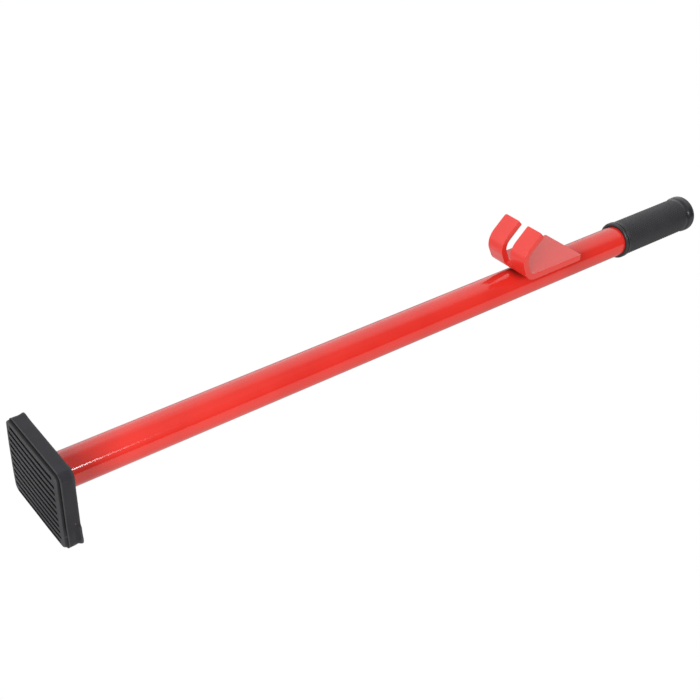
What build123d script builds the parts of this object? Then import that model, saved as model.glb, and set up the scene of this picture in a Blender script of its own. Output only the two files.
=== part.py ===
from build123d import *
import os

# Foot-pad lever bar with a slotted grab hook.
# Frame: the origin is on the axis of the long tube, in the plane of the tread
# face of the foot pad.  +X runs along the tube to the hand grip, +Z is the side
# the hook stands on, and Y is the width of the pad and of the hook.
# All lengths are millimetres.

# ---------------------------------------------------------------- dimensions
overrun = 1.0               # how far cutting solids reach past a face

# long tube
tube_od = 32.0
tube_wall = 2.0

# rubber foot pad, a boot stretched over a square steel plate
pad_width = 89.0            # Y, over the side wall
pad_height = 74.0           # Z, over the side wall
pad_depth = 15.0            # X, tread face to rear lip
pad_centre_z = -2.1
pad_corner_r = 6.0
tread_layer = 2.9           # depth of the stepped front layer
tread_inset = 1.1           # step between the front layer and the side wall
wall_shoulder = 0.6         # chamfer at the front of the side wall
tread_edge = 0.7            # chamfer round the tread face
groove_count = 11
groove_pitch = 6.5
groove_width = 3.0
groove_depth = 2.4
groove_length = 78.0
outer_groove_shortening = 8.0
groove_centre_z = -2.6

# steel plate inside the boot
plate_width = 80.0
plate_height = 65.0
plate_thickness = 5.0
plate_front_x = 7.6
plate_corner_r = 3.0
lip_width = 74.0            # opening in the rear lip of the boot
lip_height = 59.0
lip_corner_r = 6.0
lip_overlap = 0.5           # how far the lip cut reaches into the plate pocket

# fillet weld that joins the tube to the plate
foot_weld_leg = 4.5
# section as fractions of the leg: (along X from the plate, out from the tube)
foot_weld_section = [(0, 0), (0, 1), (0.16, 0.66), (0.36, 0.36), (0.66, 0.16), (1, 0)]

# slotted grab hook, bent from flat bar
bar_width = 50.2
bar_thickness = 6.4
hook_back_x = 584.4         # free +X edge of the leg that lies on the tube
hook_low_x = 510.6          # outer corner of the lower bend, before rounding
hook_mid_x = 497.3          # outer corner of the upper bend, before rounding
hook_mid_z = 44.7
hook_tip_x = 520.7          # outer edge of the prong tips
hook_tip_z = 65.9
low_bend_inner_r = 9.1
mid_bend_inner_r = 11.1
slot_width = 11.2
slot_end_up_riser = 9.8     # centre of the slot's round end, up from the lower corner
tip_corner_r = 2.2
slot_mouth_r = 1.4
back_corner_r = 1.6

# how far the slot cutters reach past the bar
cut_outside = 6.0           # from the riser's outer face, away from the bar
cut_inside = 12.0           # from the riser's outer face, through the bar
slot_clearance = 12.0       # past the upper bend and the tips
slot_knee_dx = 3.0          # inner corner of the cutter, +X of its lower end
slot_knee_drop = 6.0        # the same corner, below the upper bend
slot_tip_drop = 14.0        # corner past the tips, below them

# finding the short edges that get rounded
edge_y_tolerance = 0.05
edge_centre_tolerance = 1.2
edge_length_tolerance = 0.3

# seam welds in the wedges between the flat leg and the round tube
seam_start_x = 523.0
seam_end_x = 581.0
seam_inner_y = 5.0
seam_outer_y = 11.6
seam_depth = 6.4
seam_tube_overrun = 5.0
# outer side of the section: (Y beyond seam_outer_y, drop below the leg)
seam_outer_side = [(0.0, 0.0), (0.15, 1.9), (0.75, 3.8), (1.9, seam_depth)]

# rubber hand grip, pushed on and closed at the end
grip_start_x = 665.6
grip_end_x = 781.2
grip_body_r = 18.4
grip_end_wall = 6.2
collar_r = 19.3
collar_groove_r = 18.4
flare_r = 19.3

tube_r = tube_od / 2
plate_rear_x = plate_front_x + plate_thickness
tube_end_x = grip_end_x - grip_end_wall

# grooved collar at the open end: (X from grip_start_x, radius)
grip_collar = [
    (0.0, tube_r),
    (0.0, collar_r - 1.4),
    (0.7, collar_r - 0.35),
    (1.6, collar_r),
    (2.6, collar_r),
    (3.0, collar_groove_r),
    (3.5, collar_groove_r),
    (3.9, collar_r),
    (5.4, collar_r),
    (5.8, collar_groove_r),
    (6.4, collar_groove_r),
    (7.2, grip_body_r),
]
# waist, flare and rounded closed end: (X back from grip_end_x, radius)
grip_flare = [
    (24.0, grip_body_r),
    (19.4, grip_body_r - 0.5),
    (14.0, flare_r - 0.6),
    (9.0, flare_r - 0.15),
    (6.0, flare_r),
    (4.4, flare_r - 0.6),
    (3.0, flare_r - 1.9),
    (1.7, flare_r - 4.0),
    (0.7, flare_r - 7.0),
    (0.2, flare_r - 10.5),
    (0.0, flare_r - 13.5),
    (0.0, 0.0),
]


# ------------------------------------------------------------------- helpers
def polygon(points):
    """Flat face inside a closed outline."""
    return make_face(Polyline(*points, close=True))


def extrude_along_x(face, x_start, x_end):
    """Stands a face drawn in (Y, Z) between two X stations."""
    return Plane.YZ.offset(x_start) * extrude(face, amount=x_end - x_start)


def extrude_across_y(face, width):
    """Extrudes a face drawn in (X, Z) to a width centred on Y = 0."""
    return Plane.XZ * extrude(face, amount=width / 2, both=True)


def rounded_slab(width, height, radius, x_start, x_end):
    """Rounded rectangle in Y and Z, centred on the pad."""
    face = Pos(0, pad_centre_z) * RectangleRounded(width, height, radius)
    return extrude_along_x(face, x_start, x_end)


def ring_about_x(points):
    """Solid of revolution about X from (x, radius) points."""
    return revolve(polygon(points), axis=Axis.X, revolution_arc=360)


def chamfer_at_x(solid, x, size):
    """Chamfers the edges that lie in the plane at x."""
    return chamfer(solid.edges().filter_by_position(Axis.X, x - 0.01, x + 0.01), size)


def right_normal(direction):
    """Direction turned a quarter turn to its right-hand side."""
    return Vector(direction.Y, -direction.X)


def offset_path(points, distance):
    """Offsets an open path to its right-hand side, mitred at the corners."""
    normals = [
        right_normal((end - start).normalized()) for start, end in zip(points, points[1:])
    ]
    # an end point has one segment, which counts as both neighbours
    before = normals[:1] + normals
    after = normals + normals[-1:]
    moved = []
    for point, normal_before, normal_after in zip(points, before, after):
        mitre = normal_before + normal_after
        moved.append(point + mitre * (2 * distance / mitre.dot(mitre)))
    return moved


# ---------------------------------------------------------- tube, plate, pad
def make_main_tube():
    outside = extrude_along_x(Circle(tube_r), plate_rear_x, tube_end_x)
    bore = extrude_along_x(
        Circle(tube_r - tube_wall), plate_rear_x - overrun, tube_end_x + overrun
    )
    return outside - bore


def make_foot_plate():
    return rounded_slab(
        plate_width, plate_height, plate_corner_r, plate_front_x, plate_rear_x
    )


def make_foot_pad():
    side_wall = rounded_slab(pad_width, pad_height, pad_corner_r, tread_layer, pad_depth)
    side_wall = chamfer_at_x(side_wall, tread_layer, wall_shoulder)
    tread = rounded_slab(
        pad_width - 2 * tread_inset,
        pad_height - 2 * tread_inset,
        pad_corner_r - tread_inset,
        0.0,
        tread_layer + wall_shoulder,
    )
    tread = chamfer_at_x(tread, 0.0, tread_edge)
    pad = side_wall + tread

    for i in range(groove_count):
        z = groove_centre_z + (i - (groove_count - 1) / 2) * groove_pitch
        length = groove_length
        # the outermost grooves stop short of the rounded corners
        if i in (0, groove_count - 1):
            length -= outer_groove_shortening
        groove = Pos(0, z) * SlotOverall(length, groove_width)
        pad -= extrude_along_x(groove, -overrun, groove_depth)

    # pocket for the plate, then the smaller opening behind it
    pad -= make_foot_plate()
    pad -= rounded_slab(
        lip_width, lip_height, lip_corner_r, plate_rear_x - lip_overlap, pad_depth + overrun
    )
    return pad


def make_foot_weld():
    return ring_about_x(
        [
            (plate_rear_x + along * foot_weld_leg, tube_r + out * foot_weld_leg)
            for along, out in foot_weld_section
        ]
    )


# ----------------------------------------------------------------- grab hook
# Vectors here lie in the side view: their X is the frame's X, their Y its Z.
def edges_through_bar(solid, y, end_point):
    """Edges through the bar's thickness at the given width and end."""
    found = []
    for edge in solid.edges():
        middle = edge.center()
        distance = (Vector(middle.X, middle.Z) - end_point).length
        if (
            abs(middle.Y - y) < edge_y_tolerance
            and distance < edge_centre_tolerance
            and abs(edge.length - bar_thickness) < edge_length_tolerance
        ):
            found.append(edge)
    return found


def make_bent_bar(outer, inner):
    """Full-width bar between its outer and inner paths, with rounded bends."""
    profile = polygon(outer + inner[::-1])
    for point, radius in (
        (outer[1], low_bend_inner_r + bar_thickness),
        (inner[1], low_bend_inner_r),
        (outer[2], mid_bend_inner_r + bar_thickness),
        (inner[2], mid_bend_inner_r),
    ):
        profile = fillet(profile.vertices().sort_by_distance(point)[0], radius)
    return extrude_across_y(profile, bar_width)


def cut_slot(hook, low_corner, mid_corner):
    """Cuts the slot from its round end on the riser out through the tips."""
    up_riser = (mid_corner - low_corner).normalized()
    through_bar = right_normal(up_riser)
    slot_end = low_corner + up_riser * slot_end_up_riser
    outside = slot_end - through_bar * cut_outside
    inside = slot_end + through_bar * cut_inside

    # straight part: everything above a line square to the riser
    region = polygon(
        [
            outside,
            inside,
            (inside.X + slot_knee_dx, hook_mid_z - slot_knee_drop),
            (hook_tip_x + slot_clearance, hook_tip_z - slot_tip_drop),
            (hook_tip_x + slot_clearance, hook_tip_z + slot_clearance),
            (hook_mid_x - slot_clearance, hook_tip_z + slot_clearance),
            (hook_mid_x - slot_clearance, hook_mid_z),
        ]
    )
    hook -= extrude_across_y(region, slot_width)

    # round end, drilled square to the riser
    drill_plane = Plane(
        origin=(outside.X, 0, outside.Y),
        x_dir=(0, 1, 0),
        z_dir=(through_bar.X, 0, through_bar.Y),
    )
    drill = extrude(Circle(slot_width / 2), amount=cut_outside + cut_inside)
    return hook - drill_plane * drill


def make_grab_hook():
    outer = [
        Vector(hook_back_x, tube_r),
        Vector(hook_low_x, tube_r),
        Vector(hook_mid_x, hook_mid_z),
        Vector(hook_tip_x, hook_tip_z),
    ]
    inner = offset_path(outer, bar_thickness)
    hook = make_bent_bar(outer, inner)
    hook = cut_slot(hook, outer[1], outer[2])

    # rounded corners at the prong tips and at the free +X edge
    tip_middle = (outer[3] + inner[3]) * 0.5
    back_middle = (outer[0] + inner[0]) * 0.5
    for side in (-1, 1):
        for width, end_point, radius in (
            (bar_width, tip_middle, tip_corner_r),
            (slot_width, tip_middle, slot_mouth_r),
            (bar_width, back_middle, back_corner_r),
        ):
            hook = fillet(edges_through_bar(hook, side * width / 2, end_point), radius)
    return hook


# ---------------------------------------------------------------- seam welds
def make_hook_weld(side):
    """Bead under the flat leg; side is 1 for +Y and -1 for -Y."""
    section = [(side * seam_inner_y, tube_r)]
    section += [
        (side * (seam_outer_y + beyond), tube_r - drop) for beyond, drop in seam_outer_side
    ]
    section.append((side * seam_inner_y, tube_r - seam_depth))
    bead = extrude_along_x(polygon(section), seam_start_x, seam_end_x)
    return bead - extrude_along_x(
        Circle(tube_r), seam_start_x - seam_tube_overrun, seam_end_x + seam_tube_overrun
    )


# ----------------------------------------------------------------- hand grip
def make_hand_grip():
    profile = [(grip_start_x + x, radius) for x, radius in grip_collar]
    profile += [(grip_end_x - x, radius) for x, radius in grip_flare]
    # inside, along the tube's end face
    profile += [(tube_end_x, 0.0), (tube_end_x, tube_r)]
    return ring_about_x(profile)


# -------------------------------------------------------------------- export
os.makedirs("parts", exist_ok=True)
for name, part in {
    "main_tube": make_main_tube(),
    "foot_plate": make_foot_plate(),
    "foot_pad": make_foot_pad(),
    "foot_weld": make_foot_weld(),
    "grab_hook": make_grab_hook(),
    "hook_weld_left": make_hook_weld(1),
    "hook_weld_right": make_hook_weld(-1),
    "hand_grip": make_hand_grip(),
}.items():
    export_step(part, f"parts/{name}.step")
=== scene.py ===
"""Looks of a lever bar: a red tube with a foot pad, a forked hook and a hand grip.

The tube's axis is X: the pad is at x = 0, the grip at the +X end. Z is up, and the camera
looks from -X, -Y and above. Geometry is in millimetres; add_mesh turns it into metres.
"""
import math

import bmesh
import bpy
import numpy as np
from mathutils import Matrix, Vector


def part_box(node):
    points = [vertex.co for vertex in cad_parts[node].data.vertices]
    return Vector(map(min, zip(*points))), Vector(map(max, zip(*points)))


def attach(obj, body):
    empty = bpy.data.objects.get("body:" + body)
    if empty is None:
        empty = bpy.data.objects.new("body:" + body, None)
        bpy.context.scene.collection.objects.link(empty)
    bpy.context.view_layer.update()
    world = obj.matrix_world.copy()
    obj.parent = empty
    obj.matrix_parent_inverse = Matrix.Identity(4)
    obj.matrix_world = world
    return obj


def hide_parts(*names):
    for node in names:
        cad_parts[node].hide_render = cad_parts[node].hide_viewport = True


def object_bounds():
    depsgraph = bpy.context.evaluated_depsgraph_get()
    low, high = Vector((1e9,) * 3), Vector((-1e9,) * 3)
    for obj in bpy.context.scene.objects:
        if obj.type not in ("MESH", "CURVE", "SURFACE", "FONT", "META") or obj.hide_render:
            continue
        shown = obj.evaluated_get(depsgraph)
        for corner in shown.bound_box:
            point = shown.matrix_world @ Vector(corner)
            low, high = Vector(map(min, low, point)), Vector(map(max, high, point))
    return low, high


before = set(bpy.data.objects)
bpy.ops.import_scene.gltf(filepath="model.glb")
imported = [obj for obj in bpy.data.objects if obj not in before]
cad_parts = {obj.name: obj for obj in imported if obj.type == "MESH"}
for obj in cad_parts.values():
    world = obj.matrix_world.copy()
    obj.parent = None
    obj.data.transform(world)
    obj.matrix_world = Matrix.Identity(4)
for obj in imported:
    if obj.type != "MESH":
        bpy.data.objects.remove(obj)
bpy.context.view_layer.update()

MM = 0.001


def box_mm(name):
    lo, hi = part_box(name)
    return np.array(lo) / MM, np.array(hi) / MM


tube_lo, tube_hi = box_mm("main_tube")
plate_lo, plate_hi = box_mm("foot_plate")
hook_lo, hook_hi = box_mm("grab_hook")
grip_lo, grip_hi = box_mm("hand_grip")
TUBE_START, TUBE_END = tube_lo[0], tube_hi[0]
GRIP_START, GRIP_END = grip_lo[0], grip_hi[0]
TUBE_R = (tube_hi[2] - tube_lo[2]) / 2.0
PAD_CENTRE = (0.0, 0.34, -2.07)


def smooth(value, start=0.0, end=1.0):
    """Eases from 0 at start to 1 at end."""
    share = np.clip((np.asarray(value, float) - start) / (end - start), 0.0, 1.0)
    return share * share * (3.0 - 2.0 * share)


# ---------------------------------------------------------------- shader nodes
class Nodes:
    """Short ways to add and join the nodes of one tree. A value may be a number or a socket."""

    def __init__(self, tree):
        self.tree = tree
        tree.nodes.clear()

    def new(self, kind, inputs=(), **settings):
        node = self.tree.nodes.new("ShaderNode" + kind)
        for key, value in settings.items():
            setattr(node, key, value)
        for key, value in dict(inputs).items():
            if isinstance(value, bpy.types.NodeSocket):
                self.tree.links.new(value, node.inputs[key])
            else:
                node.inputs[key].default_value = value
        return node

    def math(self, operation, *values, clamp=False):
        settings = {"operation": operation, "use_clamp": clamp}
        return self.new("Math", dict(enumerate(values)), **settings).outputs[0]

    def add(self, a, b):
        return self.math("ADD", a, b)

    def subtract(self, a, b):
        return self.math("SUBTRACT", a, b)

    def multiply(self, *factors):
        result = factors[0]
        for factor in factors[1:]:
            result = self.math("MULTIPLY", result, factor)
        return result

    def band(self, value, centre, half_width):
        """A soft bell, 1 where the value is at the centre."""
        offset = self.math("DIVIDE", self.subtract(value, centre), half_width)
        return self.math("EXPONENT", self.multiply(offset, offset, -1.0))

    def mix(self, share, first, second):
        inputs = {0: share, 6: first, 7: second}
        return self.new("Mix", inputs, data_type="RGBA").outputs[2]

    def ramp(self, value, stops):
        """Stops are (position, grey or colour)."""
        node = self.new("ValToRGB", {0: value})
        elements = node.color_ramp.elements
        while len(elements) < len(stops):
            elements.new(0.5)
        for element, (position, colour) in zip(elements, stops):
            element.position = position
            element.color = (colour,) * 3 + (1.0,) if isinstance(colour, float) else colour
        return node.outputs[0]

    def axes(self, vector):
        return self.new("SeparateXYZ", {0: vector}).outputs

    def coords_mm(self):
        """Object coordinates in millimetres."""
        coords = self.new("TexCoord").outputs["Object"]
        return self.new("VectorMath", {0: coords, 3: 1 / MM}, operation="SCALE").outputs[0]

    def noise(self, vector, scale, detail=2.0, rough=0.5):
        inputs = {"Scale": scale, "Detail": detail, "Roughness": rough, "Vector": vector}
        return self.new("TexNoise", inputs).outputs["Fac"]

    def bump(self, height, distance_mm, **normal):
        inputs = {"Strength": 1.0, "Distance": distance_mm * MM, "Height": height, **normal}
        return self.new("Bump", inputs).outputs["Normal"]

    def crevice(self, reach_mm, power):
        """0 on open surfaces, up to 1 deep in a narrow gap."""
        open_share = self.new("AmbientOcclusion", {"Distance": reach_mm * MM}).outputs["AO"]
        return self.math("POWER", self.math("SUBTRACT", 1.0, open_share, clamp=True), power)

    def camera_ray(self):
        return self.new("LightPath").outputs["Is Camera Ray"]


def new_material(name):
    material = bpy.data.materials.new(name)
    material.use_nodes = True
    return material, Nodes(material.node_tree)


# ------------------------------------------------------------------- materials
def tint(base, red, rest):
    """The base colour with red scaled by one factor, green and blue by another."""
    return (base[0] * red, base[1] * rest, base[2] * rest, 1.0)


def grey_of(base, gain):
    return (sum(base) / 3 * gain,) * 3 + (1.0,)


def powder_coat(name, base, rough, peel_mm, peel_scale, grain_mm, painted_shade_bands=(), gap_mm=8.0):
    """Red powder coat: orange peel, a little colour drift and fine grain.

    The optional bands along X, given as (centre, half width, amount), are painted shade: soft
    shadows beside the pad and the hook, painted into the colour.
    """
    material, nodes = new_material(name)
    coords = nodes.coords_mm()
    drift = nodes.noise(coords, scale=0.02, detail=3.0, rough=0.55)
    fleck = nodes.noise(coords, scale=1.6)
    drift = nodes.ramp(drift, [(0.3, 0.0), (0.7, 1.0)])
    colour = nodes.mix(drift, tint(base, red=0.93, rest=0.85), tint(base, red=1.05, rest=1.12))
    colour = nodes.mix(nodes.multiply(fleck, 0.10), colour, tint(base, red=0.8, rest=0.6))
    peel = nodes.noise(coords, peel_scale, detail=1.5, rough=0.45)
    grain = nodes.noise(coords, scale=2.6, detail=3.0, rough=0.6)
    normal = nodes.bump(grain, grain_mm, Normal=nodes.bump(peel, peel_mm))
    # painted shade: darker bands along X stand in for the soft shadows beside the pad and the
    # hook
    if painted_shade_bands:
        along = nodes.axes(coords)[0]
        for centre, half_width, amount in painted_shade_bands:
            share = nodes.multiply(nodes.band(along, centre, half_width), amount)
            colour = nodes.mix(share, colour, tint(base, red=0.1, rest=0.3))
    # painted shade: colour and reflection grow darker in narrow gaps where parts meet, standing
    # in for the shadow there
    gap = nodes.crevice(gap_mm, power=1.7)
    colour = nodes.mix(gap, colour, tint(base, red=0.16, rest=0.25))
    # roughness wanders by 0.03 either way
    wander = nodes.noise(coords, scale=0.08, detail=4.0, rough=0.6)
    inputs = {
        "Base Color": colour,
        "Roughness": nodes.add(rough - 0.03, nodes.multiply(wander, 0.06)),
        "Specular IOR Level": nodes.multiply(nodes.subtract(1.0, gap), 0.5),
        "IOR": 1.5,
        "Coat Roughness": 0.05,
        "Normal": normal,
    }
    nodes.new("OutputMaterial", {0: nodes.new("BsdfPrincipled", inputs).outputs[0]})
    return material


def rubber(name, base, rough, grain_mm, grain_scale, edge, spec, gap_mm, gap_power,
           gap_gain=1.0, specks=(), pale=(), sleek=()):
    """Charcoal moulded rubber: fine grain, faint bloom, edges paler partly from wear and partly
    as a painted highlight, and painted shade in grooves and gaps.

    specks: (centre, radius, colour) spots.
    pale: bands of painted highlight on the rims (x, half width, amount, y reach, z reach), only
    outside those reaches from the pad's centre.
    sleek: (end of first part, start of last part, roughness drop), both ends in x.
    """
    material, nodes = new_material(name)
    coords = nodes.coords_mm()
    bloom = nodes.noise(coords, scale=0.045, detail=4.0, rough=0.6)
    grain = nodes.noise(coords, grain_scale, detail=3.0, rough=0.6)
    dust = nodes.noise(coords, scale=0.9, detail=5.0, rough=0.65)
    bloom = nodes.ramp(bloom, [(0.3, 0.0), (0.7, 1.0)])
    colour = nodes.mix(bloom, tint(base, red=0.82, rest=0.82), tint(base, red=1.22, rest=1.22))
    dust_share = nodes.ramp(dust, [(0.56, 0.0), (0.80, 0.35)])
    colour = nodes.mix(dust_share, colour, tint(base, red=2.0, rest=2.0))
    # convex edges paler: partly wear, partly a painted highlight along rims and knurl ridges
    pointiness = nodes.new("NewGeometry").outputs["Pointiness"]
    edge_wear_and_sheen = nodes.ramp(pointiness, [(0.502, 0.0), (0.53, 1.0)])
    colour = nodes.mix(nodes.multiply(edge_wear_and_sheen, edge), colour, grey_of(base, gain=3.0))
    for centre, radius, speck_colour in specks:
        # noise makes the rim ragged by 0.25 mm either way
        inputs = {0: coords, 1: centre}
        distance = nodes.new("VectorMath", inputs, operation="DISTANCE").outputs[1]
        ragged = nodes.add(distance, nodes.multiply(nodes.noise(coords, scale=2.0), 0.5))
        inside = nodes.math("LESS_THAN", ragged, radius + 0.25)
        colour = nodes.mix(inside, colour, speck_colour)
    # painted highlight: patchy paler bands on the tread's front rim and the ledge bead stand in
    # for their highlight lines
    for centre, half_width, amount, reach_y, reach_z in pale:
        x, y, z = nodes.axes(coords)
        share = nodes.band(x, centre, half_width)
        off_y = nodes.math("ABSOLUTE", nodes.subtract(y, PAD_CENTRE[1]))
        beyond_y = nodes.math("GREATER_THAN", off_y, reach_y)
        off_z = nodes.math("ABSOLUTE", nodes.add(z, -PAD_CENTRE[2]))
        beyond_z = nodes.math("GREATER_THAN", off_z, reach_z)
        share = nodes.multiply(share, nodes.math("MAXIMUM", beyond_y, beyond_z))
        patches = nodes.noise(coords, scale=0.25, detail=3.0, rough=0.6)
        highlight_patchiness = nodes.add(0.55, nodes.multiply(patches, 0.9))
        share = nodes.math("MULTIPLY", nodes.multiply(share, highlight_patchiness), amount, clamp=True)
        colour = nodes.mix(share, colour, grey_of(base, gain=3.2))
    # painted shade: colour and reflection grow darker deep in grooves and gaps, standing in for
    # their shadow
    gap = nodes.math("MULTIPLY", nodes.crevice(gap_mm, gap_power), gap_gain, clamp=True)
    colour = nodes.mix(gap, colour, tint(base, red=0.04, rest=0.04))
    normal = nodes.bump(grain, grain_mm)
    normal = nodes.bump(nodes.noise(coords, scale=0.35), grain_mm * 3.0, Normal=normal)
    # dust moves roughness by 0.06 either way
    roughness = nodes.add(rough - 0.06, nodes.multiply(dust, 0.12))
    if sleek:
        first_end, last_start, drop = sleek
        x = nodes.axes(coords)[0]
        before = nodes.math("LESS_THAN", x, first_end)
        ends = nodes.add(before, nodes.math("GREATER_THAN", x, last_start))
        roughness = nodes.subtract(roughness, nodes.multiply(ends, drop))
    inputs = {
        "Base Color": colour,
        "Roughness": roughness,
        "Specular IOR Level": nodes.multiply(nodes.subtract(1.0, gap), spec),
        "Normal": normal,
    }
    nodes.new("OutputMaterial", {0: nodes.new("BsdfPrincipled", inputs).outputs[0]})
    return material


RED = (0.765, 0.030, 0.020)
mat_tube = powder_coat(
    "red_gloss_powder_coat", RED, rough=0.11, peel_mm=0.025, peel_scale=0.35, grain_mm=0.002,
    # bands of painted shade: beside the pad (x 44), beside the hook's end (x 596) and a faint
    # one at x 640
    painted_shade_bands=((44.0, 22.0, 0.15), (596.0, 20.0, 0.13), (640.0, 22.0, 0.03)),
)
mat_plate = powder_coat(
    "red_plate_coat", RED, rough=0.22, peel_mm=0.02, peel_scale=0.25, grain_mm=0.004,
)
mat_hook = powder_coat(
    "red_satin_powder_coat", (0.765, 0.034, 0.024), rough=0.20, peel_mm=0.03,
    peel_scale=0.45, grain_mm=0.008, gap_mm=11.0,
)
mat_weld = powder_coat(
    "red_weld_coat", (0.72, 0.026, 0.018), rough=0.20, peel_mm=0.02, peel_scale=0.5,
    grain_mm=0.006,
)
mat_pad = rubber(
    "pad_moulded_rubber", (0.0180, 0.0175, 0.0225), rough=0.60, grain_mm=0.020,
    grain_scale=1.5, edge=0.6, spec=0.22, gap_mm=4.0, gap_power=0.55, gap_gain=1.35,
    # painted highlight bands: on the ledge bead (x 3.35) and on the tread's front rim (x 0)
    pale=((3.35, 0.45, 0.75, 43.6, 36.4), (0.0, 0.5, 0.55, 42.3, 35.0)),
    specks=(
        ((10.56, -44.3, -16.8), 0.62, (0.42, 0.02, 0.02, 1.0)),
        ((12.5, -44.3, -21.4), 0.40, (0.10, 0.022, 0.022, 1.0)),
    ),
)
mat_grip = rubber(
    "grip_moulded_rubber", (0.0190, 0.0187, 0.0232), rough=0.50, grain_mm=0.012,
    grain_scale=1.9, edge=0.30, spec=0.36, gap_mm=2.0, gap_power=1.2,
    sleek=(GRIP_START + 7.2, GRIP_END - 17.0, 0.24),
)


# --------------------------------------------------------------- mesh building
def object_from_mesh(name, mesh, material):
    ob = bpy.data.objects.new(name, mesh)
    bpy.context.scene.collection.objects.link(ob)
    mesh.materials.append(material)
    return ob


def add_mesh(name, shape, material, stands_for, sharp_deg=35.0):
    """Makes a product part from (verts in mm, faces); edges above sharp_deg stay crisp."""
    verts, faces = shape
    mesh = bpy.data.meshes.new(name)
    mesh.from_pydata((verts * MM).tolist(), [], [tuple(int(i) for i in face) for face in faces])
    bm = bmesh.new()
    bm.from_mesh(mesh)
    bmesh.ops.recalc_face_normals(bm, faces=bm.faces)
    limit = math.radians(sharp_deg)
    for face in bm.faces:
        face.smooth = True
    for edge in bm.edges:
        if len(edge.link_faces) == 2 and edge.calc_face_angle(0.0) > limit:
            edge.smooth = False
    bm.to_mesh(mesh)
    bm.free()
    mesh.validate()
    ob = object_from_mesh(name, mesh, material)
    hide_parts(stands_for)
    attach(ob, "root")
    return ob


def lathe(profile, count, closed_profile):
    """Revolves (x, radius) points about X. A point with radius 0 becomes one pole vertex."""
    verts, rings = [], []
    angles = np.linspace(0.0, 2 * math.pi, count, endpoint=False)
    for x, radius in profile:
        if radius == 0.0:
            rings.append([len(verts)])
            verts.append((x, 0.0, 0.0))
            continue
        rings.append(list(range(len(verts), len(verts) + count)))
        verts += [(x, radius * math.cos(a), radius * math.sin(a)) for a in angles]
    faces = []
    for ring, after in zip(rings, rings[1:] + ([rings[0]] if closed_profile else [])):
        for j in range(count):
            k = (j + 1) % count
            if len(ring) == 1:
                faces.append((ring[0], after[j], after[k]))
            elif len(after) == 1:
                faces.append((ring[j], after[0], ring[k]))
            else:
                faces.append((ring[j], after[j], after[k], ring[k]))
    return np.array(verts, float), faces


def section_faces(width, row_pairs):
    """Quads between pairs of closed sections, each with width vertices."""
    faces = []
    for j, k in row_pairs:
        for i in range(width):
            m = (i + 1) % width
            faces.append((j * width + i, j * width + m, k * width + m, k * width + i))
    return faces


# ------------------------------------------------------------------- main tube
TUBE_WALL = 2.0
TUBE_LIP = 0.3  # rounding of the tube's end edges
TUBE_LIP_MID = 0.09  # inset of the middle point of the outer rounding


def build_tube():
    inner = TUBE_R - TUBE_WALL
    stations = list(np.linspace(TUBE_START + 1.0, TUBE_END - 1.0, 48))
    profile = [
        (TUBE_START, inner + TUBE_LIP),
        (TUBE_START, TUBE_R - TUBE_LIP),
        (TUBE_START + TUBE_LIP_MID, TUBE_R - TUBE_LIP_MID),
        (TUBE_START + TUBE_LIP, TUBE_R),
        *((x, TUBE_R) for x in stations),
        (TUBE_END - TUBE_LIP, TUBE_R),
        (TUBE_END - TUBE_LIP_MID, TUBE_R - TUBE_LIP_MID),
        (TUBE_END, TUBE_R - TUBE_LIP),
        (TUBE_END, inner + TUBE_LIP),
        (TUBE_END - TUBE_LIP, inner),
        *((x, inner) for x in stations[::-1]),
        (TUBE_START + TUBE_LIP, inner),
    ]
    return lathe(profile, count=256, closed_profile=True)


add_mesh("tube_shell", build_tube(), mat_tube, "main_tube")


# -------------------------------------------------------------------- foot pad
# The pad is a boot over the foot plate: a grooved tread facing -X, rounded sides, a rear
# lip turned in behind the plate and a pocket that holds the plate.
PAD_TURN = (
    Matrix.Rotation(math.radians(-0.32), 3, "Z")
    @ Matrix.Rotation(math.radians(-0.29), 3, "Y")
    @ Matrix.Rotation(math.radians(1.04), 3, "X")
)
PLATE_CENTRE = (0.0, (plate_lo[1] + plate_hi[1]) / 2, (plate_lo[2] + plate_hi[2]) / 2)
GROOVE_PITCH = 6.508
GROOVE_MID_Z = -0.52
# (z, y start, y end); the outermost two are shorter
GROOVES = [
    (GROOVE_MID_Z + GROOVE_PITCH * k, *((-40.2, 40.4) if abs(k) < 5 else (-37.0, 37.2)))
    for k in range(-5, 6)
]
GROOVE_HALF = 1.55
GROOVE_DEPTH = 3.0
# distances from a groove's middle at which the tread has grid lines
GROOVE_LINES = (0.0, 0.5, 0.9, 1.13, 1.29, 1.42, 1.55, 1.70, 1.98, 2.7)
TREAD_Y, TREAD_Z, TREAD_CORNER = 41.6, 35.15, 3.9  # half sizes and corner radius

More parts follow.
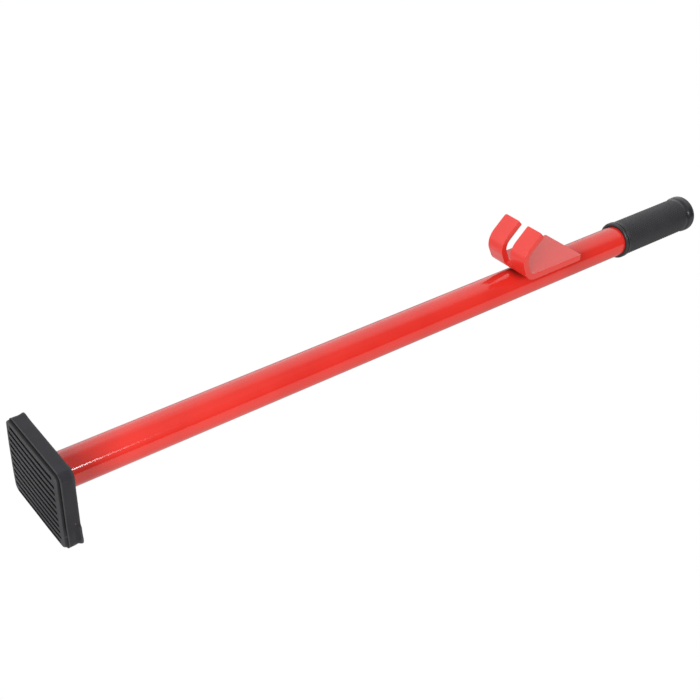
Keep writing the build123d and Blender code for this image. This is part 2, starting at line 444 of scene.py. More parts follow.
# Outlines from the tread's edge to the rear lip:
# (half y, half z, corner radius, x, corner flare, side pinch, share of the tread's dome)
BOOT_RINGS = [
    (42.55, 35.55, 4.25, 0.0, 0, 0, 1.0), (43.0, 35.78, 4.45, 0.06, 0, 0, 1.0),
    (43.3, 35.95, 4.55, 0.26, 0, 0, 1.0), (43.48, 36.08, 4.6, 0.62, 0, 0, 0.9),
    (43.55, 36.12, 4.6, 1.5, 0, 0, 0.3), (43.55, 36.12, 4.6, 2.75, 0, 0, 0),
    (43.62, 36.2, 4.7, 2.90, 0, 0, 0), (43.75, 36.36, 4.9, 2.93, 0, 0, 0),
    (44.05, 36.8, 5.5, 2.94, 0, 0, 0), (44.3, 37.08, 5.9, 2.95, 0, 0, 0),
    (44.5, 37.30, 6.15, 3.02, 0, 0, 0), (44.62, 37.42, 6.25, 3.22, 0, 0, 0),
    (44.62, 37.42, 6.25, 3.55, 0, 0, 0), (44.52, 37.32, 6.2, 3.80, 0, 0, 0),
    (44.5, 37.3, 6.2, 4.4, 0, 0, 0), (44.5, 37.28, 6.2, 6.2, 0, 0, 0),
    (44.48, 37.22, 6.2, 8.2, 0.02, 0.02, 0), (44.46, 37.18, 6.2, 10.0, 0.08, 0.05, 0),
    (44.44, 37.14, 6.2, 11.3, 0.25, 0.08, 0), (44.42, 37.1, 6.2, 12.2, 0.60, 0.10, 0),
    (44.40, 37.06, 6.2, 13.2, 0.98, 0.10, 0), (44.36, 37.0, 6.2, 14.2, 1.25, 0.08, 0),
    (44.24, 36.9, 6.2, 14.72, 1.30, 0.06, 0), (43.9, 36.6, 6.1, 14.98, 1.20, 0.05, 0),
    (43.3, 36.0, 6.0, 15.05, 0.9, 0, 0), (41.0, 33.6, 6.0, 15.02, 0.3, 0, 0),
    (38.2, 30.7, 6.0, 14.98, 0, 0, 0), (37.4, 29.9, 6.0, 14.86, 0, 0, 0),
    (37.05, 29.55, 6.0, 14.5, 0, 0, 0),
]
# The lip's inner edge and the pocket, which follow the plate: same columns up to x
POCKET_RINGS = [
    (37.0, 29.5, 6.0, 13.6), (37.0, 29.5, 6.0, 12.68), (38.6, 31.1, 4.5, 12.66),
    (40.06, 32.56, 3.05, 12.66), (40.06, 32.56, 3.05, 7.54),
]


def tread_dome(y, z):
    bow_y = 0.52 * np.clip(1 - (y / 43.0) ** 2, 0, 1)
    return -bow_y - 0.83 * np.clip(1 - (z / 35.0) ** 2, 0, 1)


def groove_depth(y, z):
    """Depth below the tread, from the signed distance to each groove's outline."""
    inside = np.full(np.shape(y), -1e9)
    for groove_z, start, end in GROOVES:
        nearest_y = np.clip(y, start + GROOVE_HALF, end - GROOVE_HALF)
        inside = np.maximum(inside, GROOVE_HALF - np.hypot(y - nearest_y, z - groove_z))
    return GROOVE_DEPTH * smooth(inside, -0.16, 0.42)


def round_corners(y, z, half_y, half_z, radius):
    """Bends the corners of a rectangle into arcs."""
    flat_y, flat_z = half_y - radius, half_z - radius
    past_y, past_z = np.abs(y) - flat_y, np.abs(z) - flat_z
    corner = (past_y > 0) & (past_z > 0)
    length = np.hypot(past_y, past_z)
    longer = np.maximum(past_y, past_z)
    shrink = np.where(corner, longer / np.where(length > 1e-9, length, 1), 1)
    round_y = np.where(corner, np.sign(y) * (flat_y + past_y * shrink), y)
    round_z = np.where(corner, np.sign(z) * (flat_z + past_z * shrink), z)
    return round_y, round_z


def tread_lines():
    """Grid lines of the tread: fine at the ends of the grooves in y, at their walls in z."""
    z_set = {-TREAD_Z, TREAD_Z}
    for groove_z, _, _ in GROOVES:
        for offset in GROOVE_LINES:
            z_set |= {round(groove_z + offset, 4), round(groove_z - offset, 4)}
    z_all = sorted(z for z in z_set if -TREAD_Z <= z <= TREAD_Z)
    z_lines = [z_all[0]]
    for z in z_all[1:]:
        if z - z_lines[-1] > 0.04:
            z_lines.append(z)
    z_lines[-1] = TREAD_Z
    y_lines = np.sort(np.concatenate([
        np.arange(-TREAD_Y, -37.0, 0.22), np.arange(-37.0, -32.5, 0.35),
        np.linspace(-32.2, 32.2, 36),
        np.arange(32.5, 37.0, 0.35), np.arange(37.0, TREAD_Y, 0.22), [TREAD_Y],
    ]))
    y_lines = y_lines[np.concatenate([[True], np.diff(y_lines) > 0.05])]
    y_lines[-1] = TREAD_Y
    return y_lines, np.array(z_lines)


def pad_ring(edge_y, edge_z, half_y, half_z, radius, x, flare=0.0, pinch=0.0, dome=0.0):
    """The tread's edge points spread onto an outline of the given size at x."""
    y, z = edge_y * half_y / TREAD_Y, edge_z * half_z / TREAD_Z
    y, z = round_corners(y, z, half_y, half_z, radius)
    # the boot sits unevenly on its plate: each corner is pushed out by its own amount
    near = np.hypot(np.abs(y) - half_y, np.abs(z) - half_z)
    soft = 1 - smooth(near, 4.0, 19.0)
    sudden = 0.65 * (1 - smooth(near, 17.0, 21.0)) + 0.35 * np.clip(1 - near / 20.0, 0, 1)
    brief = 1 - smooth(near, 3.0, 13.0)
    corner_push = np.where(
        y > 0,
        np.where(z > 0, 0.77 * brief, soft),
        np.where(z > 0, 0.46 * soft, 1.77 * sudden),
    )
    # outward direction of the outline
    past_y = np.clip(np.abs(y) - (half_y - radius), 0, None)
    past_z = np.clip(np.abs(z) - (half_z - radius), 0, None)
    on_y = np.abs(np.abs(y) - half_y) < 1e-6
    on_z = np.abs(np.abs(z) - half_z) < 1e-6
    out_y = np.where(on_y & ~on_z, 1.0, np.where(on_z & ~on_y, 0.0, past_y))
    out_z = np.where(on_y & ~on_z, 0.0, np.where(on_z & ~on_y, 1.0, past_z))
    length = np.hypot(out_y, out_z)
    out_y, out_z = out_y / length * np.sign(y), out_z / length * np.sign(z)
    # the -Y lower corner bulges in the middle of the side and draws in at its rear
    low_corner = (y < 0) & (z < 0)
    bulge = 1.1 * smooth(x, 0.0, 3.2) * (1 - smooth(x, 8.5, 13.0))
    bulge = bulge * (1 - smooth(near, 12.0, 24.0))
    sideways = 0.6 * smooth(x, 9.5, 13.5) * (1 - smooth(near, 4.0, 11.0))
    sideways = sideways * low_corner * np.abs(out_y)
    push = flare * corner_push - pinch * (1 - soft) + np.where(low_corner, bulge, 0.0)
    y, z = y + out_y * push - sideways, z + out_z * push
    return np.stack([x + dome * tread_dome(y, z), y, z], 1)


def seat_on_bar(points):
    """Lets the +Y lower corner of the tread hang, then tilts and moves the boot."""
    corner_distance = np.hypot(points[:, 1] - 44.0, points[:, 2] + 37.0)
    hang = smooth(1 - corner_distance / 42.0) * smooth(13.0 - points[:, 0], 0.0, 10.0)
    points = points + np.stack([-0.5 * hang, 0.15 * hang, -0.3 * hang], 1)
    return points @ np.array(PAD_TURN).T + PAD_CENTRE


def build_pad():
    y_lines, z_lines = tread_lines()
    count_y, count_z = len(y_lines), len(z_lines)
    grid_y, grid_z = np.meshgrid(y_lines, z_lines, indexing="ij")
    y, z = round_corners(grid_y, grid_z, TREAD_Y, TREAD_Z, TREAD_CORNER)
    x = tread_dome(y, z) + groove_depth(y, z)
    blocks = [seat_on_bar(np.stack([x.ravel(), y.ravel(), z.ravel()], 1))]
    index = np.arange(count_y * count_z).reshape(count_y, count_z)
    faces = [
        (index[i, j], index[i + 1, j], index[i + 1, j + 1], index[i, j + 1])
        for i in range(count_y - 1)
        for j in range(count_z - 1)
    ]
    edge = list(index[:-1, 0]) + list(index[-1, :-1])
    edge += list(index[:0:-1, -1]) + list(index[0, :0:-1])
    edge_y, edge_z = grid_y.ravel()[edge], grid_z.ravel()[edge]
    blocks += [seat_on_bar(pad_ring(edge_y, edge_z, *row)) for row in BOOT_RINGS]
    blocks += [pad_ring(edge_y, edge_z, *row) + PLATE_CENTRE for row in POCKET_RINGS]
    count = len(edge)
    before = edge
    start = count_y * count_z
    for _ in blocks[1:]:
        ring = list(range(start, start + count))
        start += count
        for j in range(count):
            k = (j + 1) % count
            faces.append((before[j], ring[j], ring[k], before[k]))
        before = ring
    faces.append(tuple(before))
    return np.concatenate(blocks), faces


add_mesh("pad_boot", build_pad(), mat_pad, "foot_pad", sharp_deg=50.0)


# foot plate: the CAD solid, with its edges broken
def dress_foot_plate():
    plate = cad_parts["foot_plate"]
    plate.data.materials.clear()
    plate.data.materials.append(mat_plate)
    weld = plate.modifiers.new("weld", "WELD")
    weld.merge_threshold = 1e-6
    bevel = plate.modifiers.new("bevel", "BEVEL")
    bevel.width = 0.5 * MM
    bevel.segments = 3
    bevel.limit_method = "ANGLE"
    bevel.angle_limit = math.radians(40)


dress_foot_plate()

# ------------------------------------------------------------------- foot weld
WELD_SINK = 0.03  # how far a bead starts inside the parts it joins
FOOT_WELD_LEG = 4.5
FOOT_RIPPLES, STEPS_PER_FOOT_RIPPLE = 40, 8
# concave fillet from tube to plate: shares of the leg (along x, outward)
FOOT_WELD_SECTION = [
    (0.0, 1.0), (0.07, 0.78), (0.20, 0.56), (0.36, 0.36), (0.56, 0.20), (0.78, 0.07), (1.0, 0.0),
]


def build_foot_weld():
    """Fillet bead round the tube, with the crescent ripples of a hand-run weld."""
    count = FOOT_RIPPLES * STEPS_PER_FOOT_RIPPLE
    start_x = plate_hi[0] - WELD_SINK
    verts = []
    for j in range(count):
        angle = 2 * math.pi * j / count
        wander = 0.35 * math.sin(3 * angle + 0.7) + 0.22 * math.sin(7 * angle + 2.1)
        leg = FOOT_WELD_LEG + 0.4 * wander
        for i, (share_x, share_r) in enumerate(FOOT_WELD_SECTION):
            bulge = math.sin(math.pi * i / (len(FOOT_WELD_SECTION) - 1))
            phase = FOOT_RIPPLES * angle / (2 * math.pi) + 0.35 * bulge
            ripple = 0.22 * (1 - phase % 1.0) ** 1.5
            swell = (0.55 + ripple) * bulge * 0.7
            x = start_x + share_x * leg + swell
            radius = TUBE_R - WELD_SINK + share_r * leg + swell
            verts.append((x, radius * math.cos(angle), radius * math.sin(angle)))
        root = TUBE_R - 0.4
        verts.append((start_x, root * math.cos(angle), root * math.sin(angle)))
    row_pairs = [(j, (j + 1) % count) for j in range(count)]
    return np.array(verts), section_faces(len(FOOT_WELD_SECTION) + 1, row_pairs)


add_mesh("foot_weld_bead", build_foot_weld(), mat_weld, "foot_weld", sharp_deg=60.0)

# ------------------------------------------------------------------- grab hook
# A flat bar bent twice: it lies on the tube's top, rises leaning to -X, then turns up and
# to +X as two prongs. The path is the bar's outer face as (x, z) corners before bending.
BAR_WIDTH, BAR_THICK = hook_hi[1] - hook_lo[1], 6.4
HOOK_PATH = [(584.4, TUBE_R), (510.2, TUBE_R), (496.85, 44.8), (520.75, 66.4)]
LOW_BEND_R, HIGH_BEND_R = 9.1 + BAR_THICK, 11.1 + BAR_THICK
SLOT_HALF = 5.6
SLOT_HEIGHT = 9.8  # centre of the slot's round end, up the riser from the low corner
REAR_CORNER, TIP_CORNER, PRONG_CORNER = 1.6, 2.2, 1.4
BAR_EDGE_R = 0.36
BEND_CUTS = 31


def leg_between(start, end):
    step = np.array(end, float) - np.array(start, float)
    length = np.linalg.norm(step)
    return step / length, length


def inward(direction):
    return np.array([direction[1], -direction[0]])


def turned(vector, angle):
    """Turns (x, z) towards the inside of the bends."""
    c, s = math.cos(angle), math.sin(angle)
    return np.array([c * vector[0] + s * vector[1], -s * vector[0] + c * vector[1]])


def arc(centre_q, centre_y, radius, start_deg, end_deg, count):
    return [
        (centre_q + radius * math.cos(a), centre_y + radius * math.sin(a))
        for a in np.linspace(math.radians(start_deg), math.radians(end_deg), count)
    ]


def build_hook():
    """Bends a flat pattern: q runs from the +X end to the prong tips, depth goes inwards."""
    (foot, foot_len), (riser, riser_len), (prong, prong_len) = (
        leg_between(a, b) for a, b in zip(HOOK_PATH, HOOK_PATH[1:])
    )
    low_angle = math.acos(float(foot @ riser))
    high_angle = math.acos(float(riser @ prong))
    low_trim = LOW_BEND_R * math.tan(low_angle / 2)
    high_trim = HIGH_BEND_R * math.tan(high_angle / 2)
    # stations along q where each bend starts and ends
    low_start = foot_len - low_trim
    low_end = low_start + LOW_BEND_R * low_angle
    high_start = low_end + riser_len - low_trim - high_trim
    high_end = high_start + HIGH_BEND_R * high_angle
    tip = high_end + prong_len - high_trim

    rear, low_corner, high_corner = (np.array(p, float) for p in HOOK_PATH[:3])
    low_centre = rear + foot * low_start + inward(foot) * LOW_BEND_R
    riser_start = low_corner + riser * low_trim
    high_centre = high_corner - riser * high_trim + inward(riser) * HIGH_BEND_R
    prong_start = high_corner + prong * high_trim

    def bent(q, y, depth):
        if q <= low_start:
            point = rear + foot * q + inward(foot) * depth
        elif q <= low_end:
            angle = (q - low_start) / LOW_BEND_R
            point = low_centre + turned(-inward(foot), angle) * (LOW_BEND_R - depth)
        elif q <= high_start:
            point = riser_start + riser * (q - low_end) + inward(riser) * depth
        elif q <= high_end:
            angle = (q - high_start) / HIGH_BEND_R
            point = high_centre + turned(-inward(riser), angle) * (HIGH_BEND_R - depth)
        else:
            point = prong_start + prong * (q - high_end) + inward(prong) * depth
        return (point[0], y, point[1])

    def q_of_height(height, depth):
        """q of a point up the riser: the slot's end is cut square to the riser."""
        if height >= low_trim:
            return low_end + (height - low_trim)
        return low_end - math.asin((low_trim - height) / (LOW_BEND_R - depth)) * LOW_BEND_R

    half = BAR_WIDTH / 2
    slot_q = q_of_height(SLOT_HEIGHT, 0.0)
    low_stations = list(np.linspace(low_start, low_end, BEND_CUTS))
    high_stations = list(np.linspace(high_start, high_end, BEND_CUTS))
    stations = list(np.linspace(4.0, low_start, 14)) + low_stations[1:]
    stations += list(np.linspace(low_end, high_start, 6))[1:] + high_stations[1:]
    stations += list(np.linspace(high_end, tip, 8))[1:-1]
    side_run = [q for q in stations if q < tip - TIP_CORNER - 0.2]
    slot_run = [q for q in stations if slot_q + 0.05 < q < tip - PRONG_CORNER - 0.2]
    rear_q, tip_q, prong_q = REAR_CORNER, tip - TIP_CORNER, tip - PRONG_CORNER
    rear_y, tip_y, prong_y = half - REAR_CORNER, half - TIP_CORNER, SLOT_HALF + PRONG_CORNER

    def outline(inset, depth):
        """Closed (q, y) outline of the flat pattern, moved inwards by inset."""
        rear_r, tip_r, prong_r = REAR_CORNER - inset, TIP_CORNER - inset, PRONG_CORNER - inset
        slot_r = SLOT_HALF + inset
        points = arc(rear_q, -rear_y, rear_r, 180, 270, 6)
        points += [(q, -half + inset) for q in side_run]
        points += arc(tip_q, -tip_y, tip_r, -90, 0, 8)
        points += arc(prong_q, -prong_y, prong_r, 0, 90, 6)
        points += [(q, -slot_r) for q in slot_run[::-1]]
        slot_end = arc(SLOT_HEIGHT, 0.0, slot_r, -90, -270, 41)
        points += [(q_of_height(height, depth), y) for height, y in slot_end]
        points += [(q, slot_r) for q in slot_run]
        points += arc(prong_q, prong_y, prong_r, -90, 0, 6)
        points += arc(tip_q, tip_y, tip_r, 0, 90, 8)
        points += [(q, half - inset) for q in side_run[::-1]]
        points += arc(rear_q, rear_y, rear_r, 90, 180, 6)
        return points

    # (inset, depth) through the thickness, with rounded edges
    layers = [
        (BAR_EDGE_R * (1 - math.sin(a)), BAR_EDGE_R * (1 - math.cos(a)))
        for a in np.radians(np.linspace(0, 90, 5))
    ]
    far_layers = [(inset, BAR_THICK - depth) for inset, depth in layers[::-1]]
    layers = layers + [(0.0, BAR_THICK / 2)] + far_layers

    bm = bmesh.new()
    rows = [
        [bm.verts.new((q, y, depth)) for q, y in outline(inset, depth)]
        for inset, depth in layers
    ]
    count = len(rows[0])
    for row, after in zip(rows, rows[1:]):
        for j in range(count):
            k = (j + 1) % count
            bm.faces.new((row[j], row[k], after[k], after[j]))
    bm.faces.new(rows[0])
    bm.faces.new(rows[-1][::-1])
    bm.normal_update()
    # cut the two big faces across, so that they bend smoothly
    cuts = low_stations + high_stations
    cuts += [low_end + (high_start - low_end) * k / 4 for k in (1, 2, 3)]
    for q in cuts:
        big = [face for face in bm.faces if len(face.verts) > 4 or abs(face.normal.z) > 0.999]
        edges = {edge for face in big for edge in face.edges}
        corners = {vert for face in big for vert in face.verts}
        bmesh.ops.bisect_plane(
            bm, geom=list(corners) + list(edges) + big, dist=1e-4,
            plane_co=(q, 0, 0), plane_no=(1, 0, 0),
        )
    for vert in bm.verts:
        vert.co = Vector(bent(*vert.co))
    bm.verts.index_update()
    verts = np.array([vert.co[:] for vert in bm.verts])
    faces = [[vert.index for vert in face.verts] for face in bm.faces]
    bm.free()
    return verts, faces


hook = add_mesh("hook_bar", build_hook(), mat_hook, "grab_hook", sharp_deg=40.0)
hook.modifiers.new("weighted", "WEIGHTED_NORMAL").keep_sharp = True

# ----------------------------------------------------------------- seam welds
SEAM_START, SEAM_END = 523.0, 581.0
SEAM_PITCH, STEPS_PER_SEAM_RIPPLE = 2.1, 7
SEAM_INNER_Y = 4.9


def build_seam(side):
    """Bead in the wedge between the flat bar and the round tube; side is the sign of y."""
    count = int(round((SEAM_END - SEAM_START) / SEAM_PITCH)) * STEPS_PER_SEAM_RIPPLE
    verts = []
    for j in range(count + 1):
        x = SEAM_START + (SEAM_END - SEAM_START) * j / count
        # the bead tapers to rounded ends
        end = min(j, count - j) / (STEPS_PER_SEAM_RIPPLE * 1.3)
        swell = math.sqrt(max(0.04, 1 - (1 - min(end, 1.0)) ** 2))
        wander = 0.25 * math.sin(x * 0.31 + side) + 0.18 * math.sin(x * 0.83)
        outer_y = 5.6 + (6.0 + wander) * swell
        low_angle = math.asin(min(0.999, (outer_y + 1.3 * swell) / TUBE_R))
        low_y, low_z = TUBE_R * math.sin(low_angle), TUBE_R * math.cos(low_angle)
        section = [(SEAM_INNER_Y, TUBE_R + 0.02), (outer_y, TUBE_R + 0.02)]
        for share in (0.18, 0.36, 0.54, 0.72, 0.88):
            bulge = math.sin(math.pi * share)
            tooth = ((x - SEAM_START) / SEAM_PITCH - 0.30 * bulge) % 1.0
            out = (0.35 + 0.28 * (1 - tooth) ** 1.4) * bulge * swell
            y = outer_y + (low_y - outer_y) * share + out
            section.append((y, TUBE_R + (low_z - TUBE_R) * share - 0.25 * out))
        section.append((low_y, low_z - 0.02))
        for y in ((SEAM_INNER_Y + low_y) / 2, SEAM_INNER_Y):
            section.append((y, math.sqrt(TUBE_R ** 2 - y ** 2) - WELD_SINK))
        verts += [(x, side * y, z) for y, z in section]
    width = len(section)
    faces = section_faces(width, [(j, j + 1) for j in range(count)])
    faces.append(tuple(range(width)))
    faces.append(tuple(count * width + i for i in range(width))[::-1])
    return np.array(verts), faces


for side, name in ((1, "hook_weld_left"), (-1, "hook_weld_right")):
    add_mesh(f"{name}_bead", build_seam(side), mat_weld, name, sharp_deg=50.0)

# ------------------------------------------------------------------- hand grip
KNURL_AROUND, STEPS_PER_KNURL = 36, 8
KNURL_PITCH = 3.3
KNURL_START, KNURL_END = GRIP_START + 8.0, GRIP_END - 18.6
GRIP_R = 18.42
NECK_DROP, HEAD_RISE = 0.46, 1.36  # the radius dips, then swells, towards the +X end
RIDGE_X, RIDGE_R = GRIP_END - 7.4, 19.42  # widest point, where the end dome starts
DOME_POWER = 2 / 2.5  # superellipse exponent of the end dome
BORE_R = 16.01
# the two rings at the grip's mouth: (distance from the mouth, radius)
MOUTH_RINGS = [
    (0.35, 16.03), (0.02, 16.35), (0.0, 17.0), (0.06, 17.7), (0.26, 18.3), (0.56, 18.76),
    (0.95, 19.07), (1.4, 19.25), (1.9, 19.3), (2.35, 19.24), (2.68, 19.0), (2.84, 18.6),
    (2.94, 18.0), (3.08, 17.7), (3.3, 17.6), (3.52, 17.7), (3.66, 18.0), (3.76, 18.6),
    (3.92, 19.0), (4.25, 19.24), (4.8, 19.3), (5.3, 19.24), (5.68, 19.0), (5.84, 18.6),
    (5.94, 18.0), (6.08, 17.75), (6.3, 17.68), (6.5, 17.78), (6.66, 18.1), (6.9, 18.42),
    (7.3, GRIP_R),
]


def skin_radius(x):
    """Body, neck, then the swollen end."""
    drop = NECK_DROP * float(smooth(x, GRIP_END - 21.0, GRIP_END - 15.0))
    rise = HEAD_RISE * float(smooth(x, GRIP_END - 15.2, GRIP_END - 11.3))
    rest = RIDGE_R - GRIP_R - (HEAD_RISE - NECK_DROP)
    return GRIP_R - drop + rise + rest * float(smooth(x, GRIP_END - 11.3, RIDGE_X))


def grip_profile():
    """Outer (x, radius) profile, and the x where the knurled part ends."""
    profile = [(GRIP_START + x, radius) for x, radius in MOUTH_RINGS]
    step = KNURL_PITCH / STEPS_PER_KNURL
    steps = int(round((KNURL_END - KNURL_START) / step))
    knurl_x = [KNURL_START + i * step for i in range(steps + 1)]
    last = knurl_x[-1]
    neck_x = [last + (RIDGE_X - last) * share for share in np.linspace(0.0, 1.0, 45)[1:]]
    profile += [(x, skin_radius(x)) for x in knurl_x + neck_x]
    for share in np.linspace(0.0, 1.0, 61)[1:]:
        angle = share * math.pi / 2
        radius = RIDGE_R * math.cos(angle) ** DOME_POWER if share < 1 else 0.0
        x = RIDGE_X + (GRIP_END - RIDGE_X) * math.sin(angle) ** DOME_POWER
        profile.append((x, radius))
    return profile, last


def knurl_groove(phase):
    distance = np.abs(phase - np.round(phase)) * KNURL_PITCH / math.sqrt(2)
    return np.exp(-((distance / 0.40) ** 2))


def build_grip():
    count = KNURL_AROUND * STEPS_PER_KNURL
    profile, knurl_last = grip_profile()
    skin, skin_faces = lathe(profile, count, closed_profile=False)
    x = skin[:, 0]
    angle = np.arctan2(skin[:, 2], skin[:, 1])
    radius = np.hypot(skin[:, 1], skin[:, 2])
    # knurl: two crossing helical families of rounded grooves
    along = (x - KNURL_START) / KNURL_PITCH
    around = KNURL_AROUND * angle / (2 * math.pi)
    grooves = knurl_groove(along + around) + knurl_groove(along - around)
    depth = 0.30 * np.clip(grooves, 0, 1.15) - 0.06
    fade_in = smooth(x, KNURL_START - 0.4, KNURL_START + 1.2)
    fade = fade_in * (1 - smooth(x, knurl_last - 0.4, knurl_last + 0.8))
    cut = np.where(radius > 16.5, depth * fade, 0.0)
    scale = np.where(radius > 1e-6, (radius - cut) / np.maximum(radius, 1e-6), 1.0)
    skin[:, 1:] *= scale[:, None]
    # the skin sits off the tube's axis, towards +Y and +Z
    share = np.clip((x - GRIP_START) / (GRIP_END - GRIP_START), 0.0, 1.0)
    free = (radius > 16.2) | (x > TUBE_END + 0.5)
    skin[:, 1] += np.where(free, 0.28 + 0.15 * share, 0.0)
    skin[:, 2] += np.where(free, 0.36 - 0.12 * share, 0.0)

    bore_end = TUBE_END + 0.02
    bore_profile = [
        (bore_end, 0.0), (bore_end, 8.0), (bore_end, 15.6), (bore_end - 0.4, BORE_R),
        (GRIP_START + 60.0, BORE_R), (GRIP_START + 1.0, BORE_R),
    ]
    bore, bore_faces = lathe(bore_profile, count, closed_profile=False)
    faces = skin_faces + [tuple(i + len(skin) for i in face) for face in bore_faces]
    # join the mouth of the bore to the start of the skin
    mouth = len(skin) + len(bore) - count
    for j in range(count):
        k = (j + 1) % count
        faces.append((mouth + j, j, k, mouth + k))
    return np.concatenate([skin, bore]), faces


add_mesh("grip_sleeve", build_grip(), mat_grip, "hand_grip", sharp_deg=75.0)

# -------------------------------------------------------------- floor and room
WHITE = (1.0, 1.0, 1.0, 1.0)
BURNT_OUT = 1.003  # what the camera sees of floor and sky
FLOOR_HALF = 30.0  # metres
FLOOR_GAP = 0.0002  # metres below the product


def glow_from_above(name, colour, strength):
    """Emission on the upper side, clear from below. An argument may be a function of Nodes."""
    material, nodes = new_material(name)
    values = [value(nodes) if callable(value) else value for value in (colour, strength)]
    glow = nodes.new("Emission", enumerate(values)).outputs[0]
    from_below = nodes.new("NewGeometry").outputs["Backfacing"]
    clear = nodes.new("BsdfTransparent").outputs[0]
    mix = nodes.new("MixShader", {0: from_below, 1: glow, 2: clear})
    nodes.new("OutputMaterial", {0: mix.outputs[0]})
    return material


def floor_axes(nodes):
    return nodes.axes(nodes.new("NewGeometry").outputs["Position"])


def floor_strength(nodes):
    """Burnt out to the camera; mirrored in the paint it fades to +X, to -Y and under the bar."""
    x, y, _ = floor_axes(nodes)
    decay = nodes.multiply(nodes.math("MAXIMUM", x, 0.13), -1.0 / 0.42)
    along = nodes.add(nodes.multiply(nodes.math("EXPONENT", decay), 0.90), 0.62)
    # painted shadow: the glow seen mirrored in the paint is dimmer under the bar, standing in
    # for the product's shadow on the floor
    under = nodes.math("EXPONENT", nodes.multiply(y, y, -452.0))
    shade = nodes.subtract(1.0, nodes.multiply(under, 0.44))
    front = nodes.ramp(nodes.multiply(y, -1.0), [(0.24, 1.0), (0.42, 0.06)])
    right = nodes.subtract(x, nodes.multiply(nodes.math("ABSOLUTE", y), 0.9))
    flag = nodes.ramp(right, [(0.80, 1.0), (0.95, 0.6)])
    # painted shadow: dimmer behind the bar towards +Y, the product's soft shadow on the floor
    back_stops = [(0.0, 1.0), (0.09, 1.0), (0.14, 0.64), (0.30, 0.72), (0.9, 0.92)]
    back = nodes.ramp(y, back_stops)
    mirrored = nodes.multiply(along, shade, front, flag, back)
    camera_ray = nodes.camera_ray()
    seen = nodes.multiply(camera_ray, BURNT_OUT)
    return nodes.add(seen, nodes.multiply(nodes.subtract(1.0, camera_ray), mirrored))


def floor_colour(nodes):
    """White to the camera; its reflection warms towards -Y."""
    _, y, _ = floor_axes(nodes)
    camera_ray = nodes.camera_ray()
    stops = [(0.0, WHITE), (0.03, (1.0, 1.0, 0.95, 1.0)), (0.3, (1.0, 1.0, 0.93, 1.0))]
    warm = nodes.ramp(nodes.multiply(y, -1.0), stops)
    return nodes.mix(camera_ray, warm, WHITE)


def add_stage(name, mesh, material, hidden_from):
    ob = object_from_mesh(name, mesh, material)
    for ray in hidden_from:
        setattr(ob, "visible_" + ray, False)


def add_floor(name, material, hidden_from):
    half, z = FLOOR_HALF, cad_floor_z
    mesh = bpy.data.meshes.new(name)
    corners = [(-half, -half, z), (half, -half, z), (half, half, z), (-half, half, z)]
    mesh.from_pydata(corners, [], [(0, 1, 2, 3)])
    add_stage(name, mesh, material, hidden_from)


def add_room_dome():
    """Room light for the matt part of the paint: a far dome that nothing mirrors."""
    material, nodes = new_material("room_glow")
    glow = nodes.new("Emission", {"Color": WHITE, "Strength": 0.62})
    nodes.new("OutputMaterial", {0: glow.outputs[0]})
    bm = bmesh.new()
    bmesh.ops.create_icosphere(bm, subdivisions=3, radius=14.0)
    mesh = bpy.data.meshes.new("room_dome")
    bm.to_mesh(mesh)
    bm.free()
    add_stage("room_dome", mesh, material, ("camera", "glossy", "transmission", "shadow"))


cad_floor_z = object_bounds()[0][2] - FLOOR_GAP
add_floor("floor", glow_from_above("pale_floor", floor_colour, floor_strength), ("diffuse",))
add_floor(
    "floor_bounce", glow_from_above("pale_floor_bounce", colour=WHITE, strength=0.70),
    ("camera", "glossy", "transmission"),
)
add_room_dome()


# ----------------------------------------------------------------------- world
def build_world():
    """What the paint mirrors: bright towards +X and +Y, a dim room elsewhere."""
    world = bpy.data.worlds.new("studio")
    bpy.context.scene.world = world
    world.cycles_visibility.diffuse = False
    world.use_nodes = True
    nodes = Nodes(world.node_tree)
    x, y, z = nodes.axes(nodes.new("TexCoord").outputs["Generated"])
    # closeness to the middle of the bright patch
    toward = nodes.add(nodes.multiply(x, 0.867), nodes.multiply(y, 0.368))
    toward = nodes.add(toward, nodes.multiply(z, 0.333))
    patch_stops = [
        (0.56, 0.0), (0.61, 0.12), (0.667, 0.42), (0.732, 0.70), (0.80, 0.87), (0.90, 1.0),
    ]
    patch = nodes.ramp(toward, patch_stops)
    behind = nodes.ramp(y, [(0.10, 0.0), (0.45, 1.0)])
    bright_share = nodes.math("MAXIMUM", patch, behind)
    # both parts grow darker towards +X
    dimming = nodes.multiply(nodes.ramp(x, [(0.55, 0.0), (0.75, 1.0)]), 0.38)
    bright = nodes.subtract(1.65, dimming)
    bright = nodes.multiply(bright, nodes.ramp(x, [(0.80, 1.0), (0.93, 0.6)]))
    room_stops = [
        (0.0, 0.12), (0.05, 0.20), (0.18, 0.32), (0.34, 0.32), (0.49, 0.41), (0.62, 0.60),
    ]
    room = nodes.ramp(z, room_stops)
    dimming = nodes.multiply(nodes.ramp(x, [(0.37, 0.0), (0.60, 1.0)]), 0.7)
    room = nodes.multiply(room, nodes.subtract(1.0, dimming))
    bright = nodes.multiply(bright, bright_share)
    level = nodes.add(bright, nodes.multiply(room, nodes.subtract(1.0, bright_share)))
    camera_ray = nodes.camera_ray()
    seen = nodes.multiply(camera_ray, BURNT_OUT)
    level = nodes.add(seen, nodes.multiply(level, nodes.subtract(1.0, camera_ray)))
    background = nodes.new("Background", {0: (1.0, 1.0, 0.995, 1.0), 1: level})
    nodes.new("OutputWorld", {0: background.outputs[0]})


build_world()


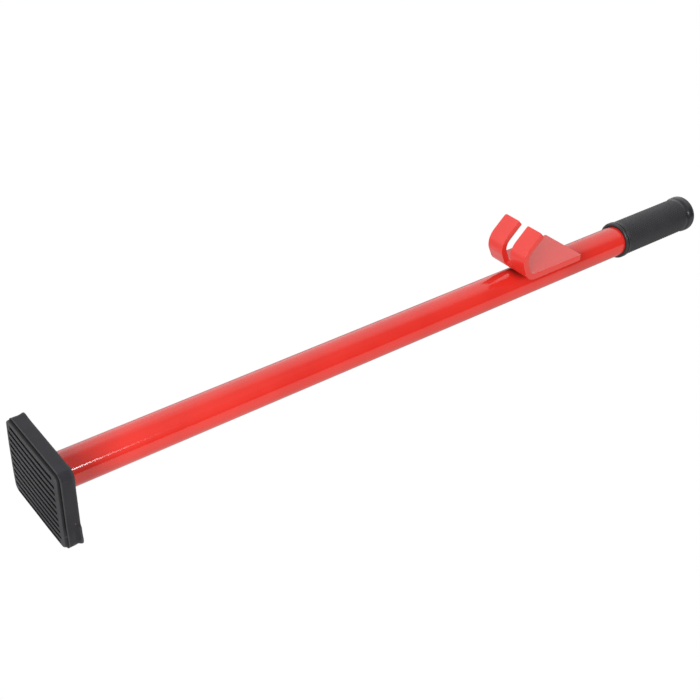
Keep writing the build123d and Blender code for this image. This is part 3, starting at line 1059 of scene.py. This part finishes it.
# ---------------------------------------------------------------------- lights
def area_light(name, location, target, width, height, watts):
    light = bpy.data.lights.new(name, "AREA")
    light.shape = "RECTANGLE"
    light.size, light.size_y = width, height
    light.energy = watts
    ob = bpy.data.objects.new(name, light)
    bpy.context.scene.collection.objects.link(ob)
    ob.location = location
    ob.rotation_mode = "QUATERNION"
    ob.rotation_quaternion = (Vector(target) - Vector(location)).to_track_quat("-Z", "Y")
    ob.visible_camera = False


BAR_MIDDLE = Vector((0.36, 0.0, 0.0))
# key softbox, high on the -X, -Y side
area_light(
    "key_softbox", BAR_MIDDLE + Vector((-0.75, -0.47, 0.47)) * 3.4, target=BAR_MIDDLE,
    width=1.5, height=1.5, watts=76.0,
)
# small box at -Y for the thin bright streak beside the pad, and a weak one that softens
# its +X edge
area_light(
    "streak_box", (0.665, -2.21, 0.998), target=(0.03, -0.013, 0.009),
    width=0.27, height=0.24, watts=5.8,
)
area_light(
    "streak_box_edge", (0.87, -2.16, 0.98), target=(0.05, -0.013, 0.009),
    width=0.13, height=0.24, watts=0.3,
)

# ---------------------------------------------------------------------- camera
# rows: the view's right, down and forward directions
VIEW_AXES = np.array([
    [0.79031247, -0.61190521, 0.03127631],
    [-0.32878494, -0.46661344, -0.82108],
    [0.51701708, 0.63862658, -0.56995564],
])
# the product's origin seen from the camera, in metres along those directions
ORIGIN_IN_VIEW = np.array([-0.24512354656, 0.10210315344, 0.91640933536])


def add_camera():
    camera = bpy.data.cameras.new("view_camera")
    camera.sensor_width = 36.0
    camera.lens = 60.693943
    camera.shift_x, camera.shift_y = -0.000714286, 0.000714286
    camera.clip_start, camera.clip_end = 0.02, 100.0
    ob = bpy.data.objects.new("view_camera", camera)
    bpy.context.scene.collection.objects.link(ob)
    right, down, forward = VIEW_AXES
    turn = Matrix(np.stack([right, -down, -forward], axis=1).tolist()).to_4x4()
    ob.matrix_world = Matrix.Translation(-VIEW_AXES.T @ ORIGIN_IN_VIEW) @ turn
    bpy.context.scene.camera = ob


add_camera()

view = bpy.context.scene.view_settings
view.view_transform = "Standard"
view.look = "None"
view.exposure = 0.0
view.gamma = 1.0

bpy.context.view_layer.update()
